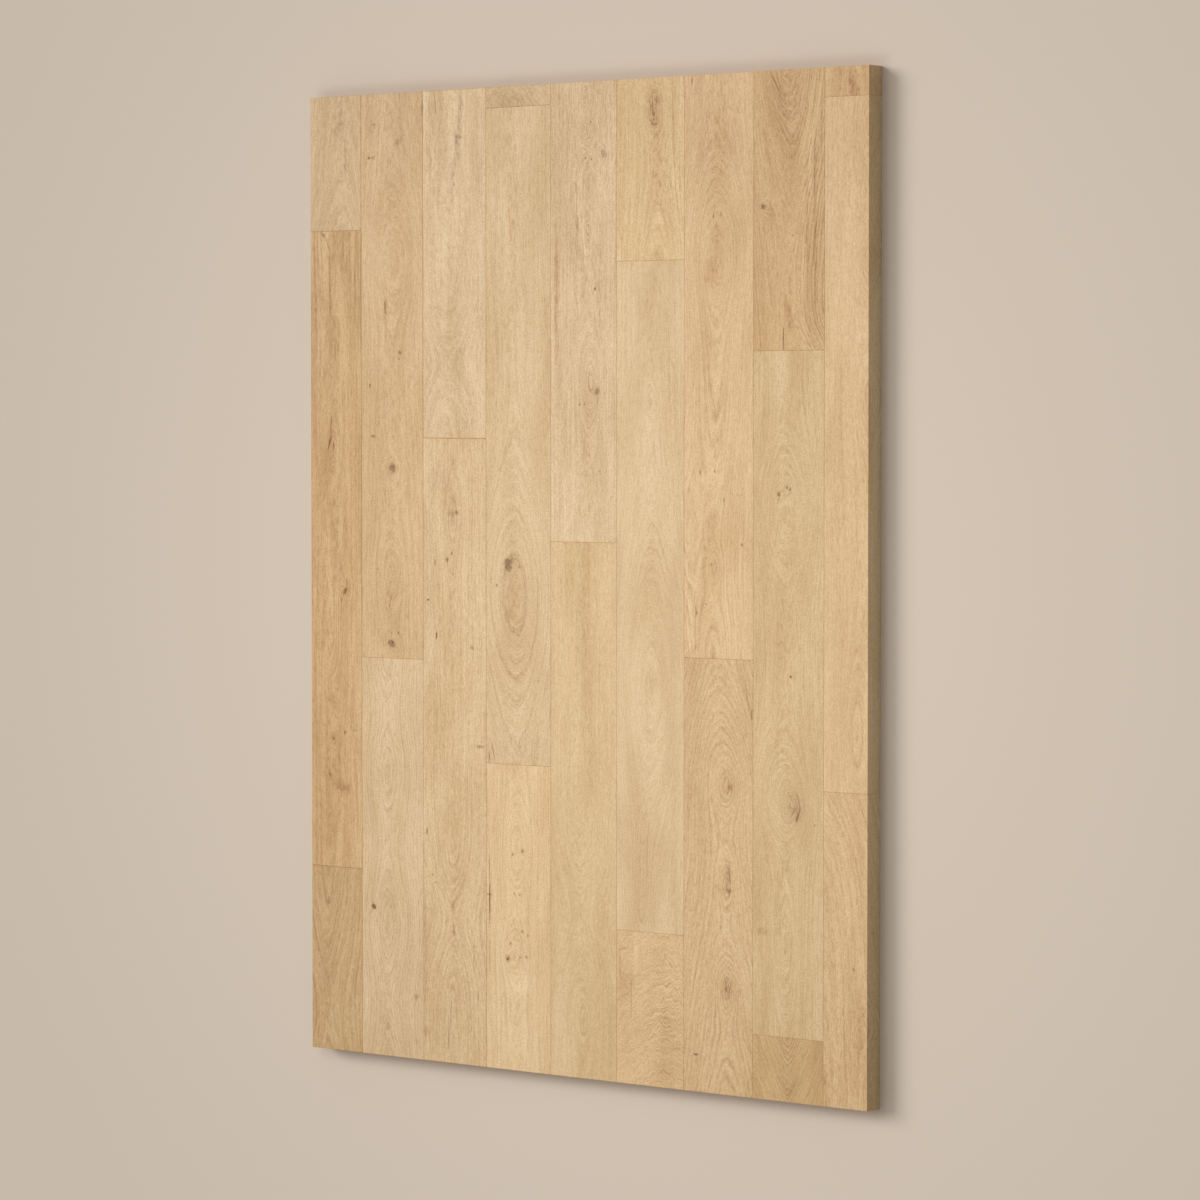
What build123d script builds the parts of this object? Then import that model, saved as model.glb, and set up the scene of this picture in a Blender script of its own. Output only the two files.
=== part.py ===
"""Parquet board: a rectangular panel of solid oak planks, laid in staggered rows and trimmed square.

Millimetres. The panel lies flat with its face up. The origin is at the centre of the underside,
+X runs across the rows, +Y along the planks towards the head edge, and +Z is up out of the face.
Each plank has a tongue along its right edge and a groove along its left edge. Its ends are plain
and butt together. The four outer edges of the panel are sawn through, so the planks there are
ripped or cut short, and they have neither tongue nor groove on the sawn side.
"""

import os

from build123d import *

# The planks as they come from the mill
plank_length = 700.0
plank_width = 90.0  # face width, without the tongue
plank_thickness = 22.0
joint_bevel = 0.5  # small bevel round the face of each plank, which draws the joint lines

# Tongue and groove along the long edges
tongue_depth = 8.5  # from the face down to the tongue
tongue_thickness = 6.0
tongue_length = 5.5
tongue_nose = 0.8  # bevel on the tongue's two free edges
cheek_clearance = 0.1  # above and below the tongue in its groove
nose_clearance = 0.6  # between the tongue's nose and the bottom of the groove
shoulder_relief = 0.4  # the lower shoulder stands back, so that the faces close first

# The laid panel
panel_length = 1050.0
first_row_width = 75.0  # ripped from a full plank, at the left edge
last_row_width = 55.0  # ripped from a full plank, at the right edge
full_rows = 7
arris = 0.8  # sanded bevel round the sawn edges of the panel
shortest_piece = 15.0  # no shorter offcut is laid at the foot edge

# Length of the first piece of each row, from the head edge to its end joint. The rows beyond the
# list take its values again from the start.
head_cuts = (147.0, 614.0, 374.0, 22.0, 483.0, 189.0, 600.0, 284.0, 30.0)

row_widths = [first_row_width] + [plank_width] * full_rows + [last_row_width]
panel_width = sum(row_widths)
groove_depth = tongue_length + nose_clearance
tongue_top = plank_thickness - tongue_depth
tongue_bottom = tongue_top - tongue_thickness
saw_allowance = plank_thickness  # the blanks run this far past the sawn outline


def tongue_edge(x):
    """Points of a right edge with its tongue, from the face down to the underside."""
    nose = x + tongue_length
    shoulder = x - shoulder_relief
    return [
        (x - joint_bevel, plank_thickness),
        (x, plank_thickness - joint_bevel),
        (x, tongue_top),
        (nose - tongue_nose, tongue_top),
        (nose, tongue_top - tongue_nose),
        (nose, tongue_bottom + tongue_nose),
        (nose - tongue_nose, tongue_bottom),
        (shoulder, tongue_bottom),
        (shoulder, 0),
    ]


def groove_edge(x):
    """Points of a left edge with its groove, from the underside up to the face."""
    back = x + groove_depth
    return [
        (x, 0),
        (x, tongue_bottom - cheek_clearance),
        (back, tongue_bottom - cheek_clearance),
        (back, tongue_top + cheek_clearance),
        (x, tongue_top + cheek_clearance),
        (x, plank_thickness - joint_bevel),
        (x + joint_bevel, plank_thickness),
    ]


def row_profile(left, right, first, last):
    """Cross-section of one row. A sawn outer edge is left oversize, for the outline to cut."""
    sawn_left = left - saw_allowance
    sawn_right = right + saw_allowance
    left_edge = [(sawn_left, 0), (sawn_left, plank_thickness)] if first else groove_edge(left)
    right_edge = [(sawn_right, plank_thickness), (sawn_right, 0)] if last else tongue_edge(right)
    return make_face(Plane.XZ * Polyline(*left_edge, *right_edge, close=True))


def row_joints(head_cut):
    """Y of the cuts across one row from the head edge to the foot edge, both sawn edges included."""
    head_edge, foot_edge = panel_length / 2, -panel_length / 2
    cuts = [head_edge]
    joint = head_edge - head_cut
    while joint - foot_edge >= shortest_piece:
        cuts.append(joint)
        joint -= plank_length
    return cuts + [foot_edge]


def plank_blank(profile, head, foot, head_sawn, foot_sawn):
    """A plank of that profile from y = foot to y = head, bevelled across the face at its butt ends."""
    head_end = head + saw_allowance if head_sawn else head
    foot_end = foot - saw_allowance if foot_sawn else foot
    blank = Pos(0, head_end, 0) * extrude(profile, head_end - foot_end, dir=(0, -1, 0))
    end_edges = blank.edges().filter_by(Axis.X).group_by(Axis.Z)[-1].sort_by(Axis.Y)
    butt_ends = ([] if foot_sawn else [end_edges[0]]) + ([] if head_sawn else [end_edges[-1]])
    return chamfer(butt_ends, joint_bevel) if butt_ends else blank


def sawn_outline():
    """The panel as it is sawn to size, with its arrises sanded off."""
    block = Box(
        panel_width, panel_length, plank_thickness, align=(Align.CENTER, Align.CENTER, Align.MIN)
    )
    return chamfer(block.edges(), arris)


def build_panel():
    """Every plank of the panel, by its row from the left and its place from the head edge."""
    outline = sawn_outline()
    planks = {}
    left = -panel_width / 2
    for row, width in enumerate(row_widths, start=1):
        right = left + width
        profile = row_profile(left, right, first=row == 1, last=row == len(row_widths))
        cuts = row_joints(head_cuts[(row - 1) % len(head_cuts)])
        pieces = len(cuts) - 1
        for index in range(pieces):
            blank = plank_blank(
                profile,
                head=cuts[index],
                foot=cuts[index + 1],
                head_sawn=index == 0,
                foot_sawn=index == pieces - 1,
            )
            planks[f"row{row}_plank{index + 1}"] = blank & outline
        left = right
    return planks


os.makedirs("parts", exist_ok=True)
for name, plank in build_panel().items():
    plank.label = name
    export_step(plank, f"parts/{name}.step")
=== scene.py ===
"""Looks of the parquet board: oiled oak planks with their own figure, knots and joints, on a pale floor."""

import math
from dataclasses import dataclass, field

import bpy
from mathutils import Matrix, Vector


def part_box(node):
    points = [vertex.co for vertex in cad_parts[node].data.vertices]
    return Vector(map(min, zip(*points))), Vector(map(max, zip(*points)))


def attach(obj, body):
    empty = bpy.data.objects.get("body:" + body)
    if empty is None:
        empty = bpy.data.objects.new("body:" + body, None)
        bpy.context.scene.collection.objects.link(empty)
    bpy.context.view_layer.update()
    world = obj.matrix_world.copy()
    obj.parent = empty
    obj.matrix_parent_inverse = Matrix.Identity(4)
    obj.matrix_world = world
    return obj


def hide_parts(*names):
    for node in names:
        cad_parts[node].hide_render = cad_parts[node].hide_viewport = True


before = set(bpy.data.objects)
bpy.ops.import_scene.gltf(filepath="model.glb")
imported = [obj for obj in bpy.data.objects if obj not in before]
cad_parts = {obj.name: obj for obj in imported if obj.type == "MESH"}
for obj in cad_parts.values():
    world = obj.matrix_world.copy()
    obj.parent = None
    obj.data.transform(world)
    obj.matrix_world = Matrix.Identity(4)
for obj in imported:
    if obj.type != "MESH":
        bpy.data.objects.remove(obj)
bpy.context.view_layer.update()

# Sizes of the planks, in metres, as the solids have them
PLANK_THICKNESS = 0.022
TONGUE_DEPTH = 0.0085
TONGUE_THICKNESS = 0.006
TONGUE_LENGTH = 0.0055
TONGUE_NOSE = 0.0008
GROOVE_DEPTH = 0.0061
CHEEK_CLEARANCE = 0.0001
SHOULDER_RELIEF = 0.0004
FIRST_ROW = 1
LAST_ROW = 9

# Sanding of the arrises: how far, in how many steps, and from which angle between two faces
EASED_ARRIS = 0.0004
EASED_STEPS = 3
EASED_ANGLE = 50.0
WELD_DISTANCE = 0.00001

# The camera stands off to the right of the board and looks down on it
CAMERA_AIM = Vector((0.0326, -0.0182, 0.022))
CAMERA_DISTANCE = 4.857
CAMERA_TURN = 39.328
CAMERA_TILT = 2.227
CAMERA_LENS = 138.79
SENSOR_WIDTH = 36.0

# Light: a soft sun from the left, a softbox over the middle of the board and an even sky
SUN_STRENGTH = 2.05
SUN_SPREAD = 30.0
SUN_TURN = 52.0
SUN_AZIMUTH = 160.0
SOFTBOX_POWER = 2.0
SOFTBOX_SIZE = 0.5
SOFTBOX_PLACE = (0.03, 0.02, 0.92)
SKY_STRENGTH = 0.43
SKY_COLOUR = (1.0, 1.0, 1.0, 1.0)


def srgb(red, green, blue):
    """A colour from its usual 0 to 255 values, as the linear values that the nodes take."""
    def linear(value):
        value = value / 255
        return value / 12.92 if value <= 0.04045 else ((value + 0.055) / 1.055) ** 2.4
    return (linear(red), linear(green), linear(blue), 1.0)


# Oak as it comes from different boards
STRAW = srgb(230, 201, 159)
WHEAT = srgb(230, 200, 154)
ROSE = srgb(231, 203, 164)
HONEY = srgb(227, 194, 150)
BEIGE = srgb(220, 190, 149)
TAN = srgb(218, 183, 136)
OLIVE = srgb(209, 176, 130)

# Planks of one tone, sorted once more by how light they are
DEEP = 0.96
PLAIN = 1.0
LIGHT = 1.03
PALE = 1.06
PALEST = 1.09

# The floor runs this far from its middle to each side, and meets a backdrop of nearly the same colour
FLOOR_REACH = 14.0
FLOOR_COLOUR = srgb(212, 197, 180)
FLOOR_ROUGHNESS = 0.9
FLOOR_SPECULAR = 0.1
BACKDROP_COLOUR = srgb(214, 200, 184)

# What each effect leaves of the wood's own colour where it is strongest
RING_STAIN = (0.58, 0.46, 0.34, 1.0)
BAND_STAIN = (0.86, 0.81, 0.72, 1.0)
STREAK_STAIN = (0.80, 0.74, 0.64, 1.0)
DASH_STAIN = (0.80, 0.74, 0.63, 1.0)
SPECKLE_STAIN = (0.78, 0.72, 0.61, 1.0)
MOTTLE_STAIN = (0.905, 0.87, 0.81, 1.0)
HALO_STAIN = (0.72, 0.56, 0.42, 1.0)
MINERAL_STAIN = (0.66, 0.60, 0.60, 1.0)
HEART_STAIN = (0.29, 0.21, 0.15, 1.0)
PALE_TINT = (1.09, 1.12, 1.17, 1.0)
JOINT_STAIN = (0.87, 0.77, 0.58, 1.0)
END_GRAIN_STAIN = (0.78, 0.71, 0.62, 1.0)
# Greyer and cooler on the faces that look across a plank, at its long sides
SIDE_FACE_TINT = (0.84, 0.96, 1.08, 1.0)
BARE_TINT = (1.02, 1.04, 1.10, 1.0)

# Size of each pattern in the wood, in millimetres across, along and deep
WAVE_CELL = (40, 220, 40)
CURL_CELL = (8, 18, 8)
FRAY_CELL = (1.6, 45, 8)
STREAK_CELL = (2.1, 80, 25)
DASH_CELL = (1.0, 9, 3)
SPECKLE_CELL = (1.2, 1.9, 1.2)
PORE_CELL = (0.6, 9, 0.6)
MOTTLE_CELL = (38, 150, 38)
WOBBLE_CELL = (5, 6, 5)
DUST_CELL = (30, 70, 30)

# Where each pattern starts to show, and where it shows in full
BAND_EDGE = (0.35, 0.7)
STREAK_EDGE = (0.36, 0.68)
DASH_EDGE = (0.42, 0.70)
SPECKLE_EDGE = (0.35, 0.65)
PORE_EDGE = (0.5, 0.72)
MOTTLE_EDGE = (0.35, 0.68)

# How much the dashes break up the rings and the stains, and what shows of them without a dash
BROKEN_RINGS = (0.6, 0.6)
GRAINY_STAINS = (0.7, 0.65)
BOLD_STREAKS = 0.3

# Outline of a mark's heart and of the soft stain around it, in sizes of the mark
HEART_EDGE = (1.1, 0.7)
HALO_EDGE = (2.2, 0.2)
MARK_WOBBLE = 1.3
NOISE_MIDDLE = (0.5, 0.5, 0.5)
PIN_STRETCH = 1.2

# A year's growth: the open wood of spring, the dense wood after it, and how much the years differ
SPRING = (0.0, 0.12)
SUMMER = (0.60, 0.20)
FAINTEST_YEAR = 0.25
FRAYED_EDGE = 1.3
UNEVEN_PACE = 0.35
UNEVEN_YEARS = 1.3
BAND_PACE = 0.16

# Dust in a joint, in millimetres: how far it reaches on the face, and how far down from it
DUST_REACH = 1.8
LEAST_DUST = 0.1
FULL_DUST = 0.2
DUST_DEPTH = (-2.0, -0.8)

# Faces of a plank, by how squarely they look along it, across it or down
SQUARE_EDGE = (0.75, 0.95)
UNDERSIDE_EDGE = (-0.6, -0.9)

# Gloss and relief of the oil on the wood
OIL_ROUGHNESS = 0.52
PORE_ROUGHNESS = 0.12
DASH_ROUGHNESS = 0.06
BARE_ROUGHNESS = 0.2
HEART_ROUGHNESS = 0.12
OIL_SPECULAR = 0.3
PORE_SINK = -0.6
SPECKLE_SINK = -0.3
RELIEF_STRENGTH = 0.25
RELIEF_HEIGHT = 0.0002

# Each plank shows another part of the patterns
SEED_STEP = 1.37
SEED_STRIDE = (17.3, 5.9, 11.1)
MILLIMETRES = 1000.0


@dataclass
class Mark:
    """One mark in a plank, in millimetres from its left edge and its head end."""
    across: float
    along: float
    width: float
    length: float
    heart: float = 0.0  # dark core
    halo: float = 0.0  # brown around it, or pale where below zero
    mineral: float = 0.0  # grey smudge
    rise: float = 0.0  # how far the rings bulge, in millimetres
    reach: float = 1.0  # how many sizes the bulge spreads
    bold: float = 0.0  # how much clearer the rings are there
    tilt: float = 0.0  # lean to the right for each millimetre towards the foot


def pin(across, along, size=1.5, heart=0.55):
    """A pin knot."""
    return Mark(across, along, size, size * PIN_STRETCH, heart=heart, halo=0.3, rise=1.0, reach=3.0)


def streak(across, along, width, length, heart=0.5, tilt=0.0):
    """A dark streak or crack along the grain."""
    return Mark(across, along, width, length, heart=heart, halo=0.25, tilt=tilt)


def stain(across, along, width, length, halo=0.5, tilt=0.0):
    """A soft brown smudge, or a pale one; a wide one makes a whole stretch of the plank darker or paler."""
    return Mark(across, along, width, length, halo=halo, tilt=tilt)


def mineral(across, along, width, length, grey=0.5, tilt=0.0):
    """A soft grey smudge."""
    return Mark(across, along, width, length, mineral=grey, tilt=tilt)


def eye(across, along, width, length, rise, bold=0.3, tilt=0.0):
    """A place where the rings dip or bulge, which draws closed loops."""
    return Mark(across, along, width, length, rise=rise, bold=bold, tilt=tilt)


@dataclass
class Plank:
    """The oak of one plank: its tone, its rings and its marks. Millimetres."""
    tone: tuple
    shade: float = PLAIN  # how light it is against its tone
    axis: float = 45.0  # where the flames have their tips, from the left edge
    round: float = 20.0  # how blunt the tips are
    run: float = 0.0  # growth crossed in each metre of length: above zero, the flames point to the head
    drift: float = 0.0  # shift of the axis for each metre towards the foot
    ring: float = 4.5  # width of a year's growth
    figure: float = 0.25  # how clear the rings are
    wave: float = 4.0  # how far the rings wander over a long stretch
    curl: float = 0.5  # how far they wander over a short one
    streaks: float = 0.5  # how clear the streaks along the grain are
    grain: float = 0.6  # how clear the fine dashes and the speckle are
    seam: float = 0.1  # how clear the long joints beside it are
    butt: float = 0.35  # how clear its end joints are
    marks: list = field(default_factory=list)


PLANKS = {
    "row1_plank1": Plank(
        BEIGE, LIGHT, round=40, run=60, ring=4.0, figure=0.12, streaks=0.6, seam=0.9,
        marks=[
            mineral(50, 30, 12, 34, 0.25), mineral(52, 72, 2.5, 11, 0.3), streak(52, 76, 0.8, 7, 0.2),
            mineral(46, 28, 2.5, 22, 0.3), mineral(38, 22, 2, 18, 0.2), stain(20, 25, 4, 30, 0.15),
            eye(47, 156, 40, 34, -9, 0.0), pin(27, 137, 1.2, 0.25),
        ],
    ),
    "row1_plank2": Plank(
        TAN, PALE, axis=33, round=40, ring=4.2, figure=0.2, streaks=0.8, seam=0.6,
        marks=[
            streak(19, 4, 2.0, 3.5, 0.5, 0.7), streak(25, 14, 1.0, 8, 0.35, 0.35),
            Mark(28, 40, 1.3, 24, heart=0.2, halo=0.4), Mark(29, 80, 1.5, 26, heart=0.15, halo=0.4),
            streak(40, 14, 0.6, 12, 0.2), streak(70, 34, 0.6, 26, 0.25), streak(65, 50, 0.5, 26, 0.2),
            streak(73, 85, 0.5, 24, 0.2), streak(5, 40, 0.6, 24, 0.2), eye(66, 50, 9, 60, 0, 0.5),
            eye(6, 60, 8, 60, 0, 0.4), eye(46, 20, 10, 24, 0, 0.35), stain(23, 50, 2.5, 50, -0.6),
            streak(36, 129, 0.8, 7, 0.4), pin(22, 192, 1.0, 0.4), pin(67, 192, 1.0, 0.4),
            streak(30, 214, 0.9, 12, 0.5, -0.05), streak(28, 232, 1.2, 9, 0.7, -0.35),
            stain(31, 236, 5, 13, 0.5), eye(33, 236, 8, 24, -12, 0.5),
            Mark(51, 395, 3.4, 4, heart=0.6, halo=0.4, mineral=0.2, rise=-8, reach=2.6, bold=0.3, tilt=-0.4),
            streak(53, 386, 0.9, 6, 0.4), eye(46, 416, 6, 28, -10, 0.3), eye(43, 470, 6, 60, -9, 0.25),
            eye(33, 500, 10, 26, -8, 0.25), pin(50, 551, 1.7),
            Mark(64, 548, 4, 1.6, heart=0.2, halo=0.35), pin(33, 558, 1.6, 0.4), pin(27, 598, 1.5),
            stain(40, 590, 14, 26, 0.25), Mark(46, 608, 8, 5, halo=0.15, mineral=0.35, tilt=1.0),
            Mark(45, 612, 7, 4, halo=0.55, tilt=0.6), stain(54, 614, 3, 5, 0.35),
            stain(8, 350, 16, 330, 0.1), stain(68, 350, 12, 330, -0.35),
        ],
    ),
    "row1_plank3": Plank(
        OLIVE, PALE, axis=24, round=6, ring=3.8, figure=0.3, wave=3, curl=1.0, streaks=0.7, seam=0.4,
        butt=0.8,
        marks=[
            eye(24, 158, 50, 105, 30, 0.0), eye(24, 90, 18, 90, 0, 0.3), eye(66, 90, 10, 110, 0, 0.35),
            eye(3, 90, 6, 90, 0, 0.25), stain(6, 100, 14, 120, 0.15), stain(68, 100, 10, 120, -0.4),
        ],
    ),
    "row2_plank1": Plank(
        HONEY, PLAIN, axis=46, round=36, run=30, ring=4.0, figure=0.16, seam=0.85,
        marks=[
            mineral(45, 10, 40, 40, 0.25), Mark(19, 33, 2.6, 1.2, heart=0.35, halo=0.1, mineral=0.3),
            mineral(53, 54, 4, 6, 0.5, -0.5), Mark(52, 53, 1.2, 3.0, heart=0.2, mineral=0.2, tilt=-0.4),
            Mark(12, 69, 2.2, 1.6, heart=0.6, halo=0.4), Mark(18, 69, 3.0, 1.6, heart=0.3, halo=0.5),
            mineral(50, 85, 10, 25, 0.15), eye(52, 180, 40, 60, -18, 0.0), eye(52, 150, 12, 34, 0, 0.12),
            streak(35, 232, 1.3, 9, 0.55, 0.08), stain(36, 244, 1.4, 20, 0.4),
            stain(36, 222, 2.6, 14, 0.25), pin(56, 281, 1.9, 0.6), pin(55, 288, 1.0), pin(13, 317, 1.8),
            pin(36, 303, 1.0, 0.3), Mark(17, 372, 3.2, 1.5, heart=0.5, halo=0.3),
            Mark(45, 407, 4.6, 4.6, heart=0.55, halo=0.6, mineral=0.1, rise=-8, reach=2.2, bold=0.2),
            stain(40, 480, 5, 60, 0.2), eye(42, 520, 20, 36, -12, 0.1), pin(24, 517, 1.0, 0.4),
            streak(42, 552, 0.7, 7, 0.35, -0.3), stain(41, 552, 4, 12, 0.3),
            Mark(44, 598, 5.4, 4.4,
                 heart=0.5, halo=0.6, mineral=0.1, rise=-10, reach=2.2, bold=0.4, tilt=0.3),
            Mark(45, 597, 2.2, 1.8, heart=0.8), eye(52, 604, 7, 8, -9, 0.5), pin(44, 587, 1.2),
            pin(54, 586, 1.3), streak(89.2, 17, 0.6, 9, 0.85),
        ],
    ),
    "row2_plank2": Plank(
        ROSE, LIGHT, axis=38, round=8, ring=4.4, figure=0.34, wave=3, curl=1.0, streaks=0.4, seam=0.25,
        marks=[
            eye(31, -10, 30, 46, -18, 0.1), eye(38, 125, 44, 44, -14, 0.1),
            eye(41, 292, 50, 52, -18, 0.15), eye(45, 468, 44, 60, -18, 0.1),
            Mark(17, 273, 3.2, 3.2, heart=0.85, halo=0.3, mineral=0.3, rise=4, reach=2.5),
            Mark(79, 368, 2.8, 3.2, heart=0.25, halo=0.5, rise=-4, reach=2),
            mineral(45, 380, 50, 60, 0.15),
        ],
    ),
    "row3_plank1": Plank(
        ROSE, PLAIN, axis=36, round=30, ring=4.4, figure=0.16, seam=0.65, butt=1.0,
        marks=[
            streak(9, 18, 0.6, 12, 0.3), streak(14, 40, 0.6, 14, 0.25),
            streak(18, 14, 0.7, 12, 0.4, 0.06), streak(12, 84, 0.6, 14, 0.25),
            streak(6, 56, 0.5, 12, 0.25), eye(15, 55, 11, 50, 0, 0.55), eye(80, 90, 8, 90, 0, 0.3),
            streak(55, 16, 0.9, 6, 0.3, -0.15), mineral(53, 24, 2.2, 26, 0.55, -0.1),
            mineral(46, 78, 3, 24, 0.45, -0.2),
            Mark(51, 51, 5, 2.0, heart=0.2, halo=0.1, mineral=0.4, tilt=0.6),
            Mark(48, 56, 1.6, 4, heart=0.3, halo=0.1, mineral=0.3), pin(45, 102, 1.2, 0.5),
            eye(34, 292, 50, 44, 16, 0.12), stain(32, 200, 3, 40, -0.6), stain(30, 250, 4, 20, -0.7),
            stain(36, 350, 10, 26, -0.7),
        ],
    ),
    "row3_plank2": Plank(
        STRAW, LIGHT, axis=42, round=7, ring=4.2, figure=0.26, curl=1.0, streaks=0.6, seam=0.35, butt=1.0,
        marks=[
            mineral(18, 48, 10, 12, 0.2), mineral(38, 56, 9, 16, 0.2),
            Mark(48, 80, 2.2, 2.2, heart=0.45, halo=0.4, mineral=0.3),
            Mark(38, 81, 2.4, 2.4, heart=0.05, halo=0.2, mineral=0.25), eye(42, 86, 14, 34, -14, 0.25),
            pin(41, 124, 1.6, 0.5), Mark(34, 131, 2.2, 2.4, heart=0.4, halo=0.4, mineral=0.3),
            pin(43, 146, 1.4, 0.4), Mark(17, 134, 1.2, 3.0, heart=0.4, halo=0.5),
            eye(38, 135, 8, 22, -8, 0.25), Mark(7, 175, 2.2, 1.1, heart=0.85, halo=0.3),
            Mark(70, 225, 2.0, 1.8, heart=0.35, halo=0.5), Mark(19, 214, 1.1, 4.8, heart=0.8, halo=0.4),
            Mark(80, 331, 5.0, 1.6, heart=0.3, halo=0.5, mineral=0.2, tilt=-0.5),
            streak(5, 426, 0.9, 4, 0.7), stain(6, 420, 1.2, 20, 0.4), stain(45, 400, 4, 60, 0.15),
            pin(13, 473, 1.3), pin(17, 481, 1.3, 0.35), eye(43, 520, 50, 52, 22, 0.0),
            eye(43, 472, 9, 22, 0, 0.35), eye(42, 582, 9, 28, 0, 0.4), streak(44, 532, 1.0, 7, 0.4, 0.1),
            stain(43, 530, 2.4, 24, 0.35), streak(39, 622, 0.8, 18, 0.35, -0.1),
            streak(36, 650, 0.8, 14, 0.35), streak(78, 602, 0.9, 6, 0.45), streak(72, 560, 0.6, 14, 0.25),
            stain(3, 560, 1.5, 60, 0.35), Mark(4, 645, 3.6, 4.5, heart=0.1, halo=0.45),
            mineral(20, 640, 30, 40, 0.12),
        ],
    ),
    "row4_plank1": Plank(
        BEIGE, PLAIN, axis=25, round=60, run=450, ring=3.4, figure=0.2, wave=5, curl=2.0,
        marks=[
            mineral(35, 16, 14, 7, 0.25), stain(20, 10, 8, 8, 0.1),
        ],
    ),
    "row4_plank2": Plank(
        STRAW, PLAIN, axis=30, round=22, drift=18, ring=7.0, figure=0.14, curl=0.8, streaks=0.4,
        marks=[
            stain(37, 110, 4, 60, 0.3), stain(46, 150, 8, 60, 0.15), stain(84, 200, 4, 160, 0.15),
            eye(40, 518, 80, 105, -52, 0.0, 0.03), eye(40, 560, 52, 110, 0, 0.42),
            stain(36, 512, 9, 26, 0.25), stain(34, 540, 6, 5, 0.35),
            Mark(30, 484, 6.4, 3.8, heart=0.55, halo=0.1, mineral=0.3),
            Mark(31, 489, 4.6, 5.4, heart=0.55, halo=0.1, mineral=0.3), pin(37, 480, 1.2, 0.35),
            pin(15, 509, 1.6), pin(46, 489, 1.0, 0.4), streak(10, 688, 0.7, 10, 0.6, 0.3),
            streak(4, 694, 0.7, 7, 0.5), stain(5, 690, 4, 10, 0.35), mineral(45, 690, 25, 15, 0.2),
        ],
    ),
    "row4_plank3": Plank(
        STRAW, PALEST, axis=43, round=22, ring=4.0, figure=0.22,
        marks=[
            streak(4, 112, 0.6, 14, 0.5), streak(4.5, 150, 0.9, 24, 0.85),
            streak(4.5, 205, 0.5, 18, 0.45), Mark(3, 141, 3.2, 1.0, heart=0.5, halo=0.4),
            stain(6, 145, 2, 30, 0.3), eye(43, 90, 16, 42, -20, 0.25), pin(51, 92, 1.7), pin(37, 96, 1.3),
            stain(51, 92, 3, 2.5, 0.4), pin(39, 138, 1.0, 0.6), pin(47, 139, 1.0), pin(50, 178, 1.3),
            pin(58, 182, 1.1), pin(34, 192, 1.6, 0.5),
            Mark(30, 208, 2.6, 3.2, heart=0.2, halo=0.8, rise=-8, reach=2.4, bold=0.35),
            pin(30, 209, 1.7, 0.75), pin(47, 206, 1.1, 0.4), pin(56, 205, 1.4),
            stain(50, 190, 8, 18, 0.15), eye(40, 200, 18, 30, -14, 0.15), stain(44, 236, 16, 10, -1.0),
            stain(38, 262, 2.4, 26, -0.6, -0.15), stain(55, 262, 2, 26, -0.6),
            stain(45, 250, 3, 14, -0.5),
        ],
    ),
    "row5_plank1": Plank(
        ROSE, PLAIN, axis=52, round=30, ring=4.0, figure=0.2, wave=3, curl=1.0, streaks=0.55,
        marks=[
            mineral(50, 50, 34, 36, 0.12), eye(48, 16, 6, 14, -14, 0.6), eye(48, 52, 9, 11, -18, 0.6),
            streak(55, 42, 0.7, 4, 0.45, 0.2),
            Mark(72, 76, 2.8, 4.0, heart=0.25, halo=0.3, mineral=0.4, rise=-8, reach=2.0, bold=0.4),
            streak(76, 78, 0.7, 3.0, 0.45, -0.4), streak(70, 75, 0.6, 3.0, 0.4), pin(48, 80, 1.2),
            pin(56, 81, 1.2), eye(51, 155, 4, 15, -12, 0.55), stain(51, 120, 2.4, 40, 0.3),
            eye(40, 140, 12, 60, 0, 0.4), streak(34, 110, 0.6, 8, 0.25), streak(38, 150, 0.6, 8, 0.25),
            eye(58, 200, 8, 50, 0, 0.25), pin(61, 217, 1.5, 0.75), stain(8, 225, 2.4, 48, 0.85),
            stain(3, 225, 1.4, 70, -0.9), stain(84, 150, 2, 110, -0.6), eye(55, 312, 12, 34, -26, 0.45),
            stain(55, 292, 6, 18, -0.9),
            Mark(64, 324, 3.4, 3.8, heart=0.5, halo=0.4, mineral=0.2, rise=-6, reach=2.2, bold=0.2),
            streak(64, 334, 0.8, 5, 0.35), pin(40, 338, 1.0), pin(46, 338, 1.0), pin(66, 408, 1.0, 0.3),
            stain(26, 400, 9, 60, -0.6), stain(80, 410, 6, 60, -0.6), stain(50, 390, 5, 50, 0.25),
            # The two wide marks over its whole width: darker towards the head, paler towards the foot
            stain(45, 0, 60, 60, 0.14), stain(45, 470, 60, 50, -0.3),
        ],
    ),
    "row5_plank2": Plank(
        WHEAT, DEEP, axis=41, round=16, ring=4.6, figure=0.12, streaks=0.4, grain=0.5,
        marks=[
            stain(50, 60, 6, 50, 0.3), stain(50, 180, 6, 60, 0.15), eye(40, 395, 60, 64, 20, 0.0),
            eye(39, 346, 22, 20, 0, 0.25), eye(46, 505, 9, 24, -13, 0.3), stain(46, 505, 5, 16, 0.2),
            # The wide mark over its whole width: paler towards the foot
            stain(45, 540, 60, 60, -0.3),
        ],
    ),
    "row6_plank1": Plank(
        WHEAT, LIGHT, axis=53, ring=4.6, figure=0.2, butt=0.15,
        marks=[
            Mark(49, 33, 7, 16, halo=0.4, mineral=0.4, rise=-14, reach=1.8, bold=0.4),
            streak(48, 30, 0.9, 9, 0.35, 0.05), streak(53, 26, 0.8, 8, 0.35, -0.15),
            streak(45, 28, 0.7, 7, 0.3, 0.2), streak(50, 40, 1.0, 6, 0.3),
            Mark(50, 48, 4.6, 1.5, heart=0.25, halo=0.7, tilt=0.4), pin(46, 45, 1.2, 0.4),
            stain(55, 80, 5, 30, 0.3), eye(78, 90, 9, 90, 0, 0.2), streak(76, 60, 0.7, 30, 0.1, 0.03),
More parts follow.
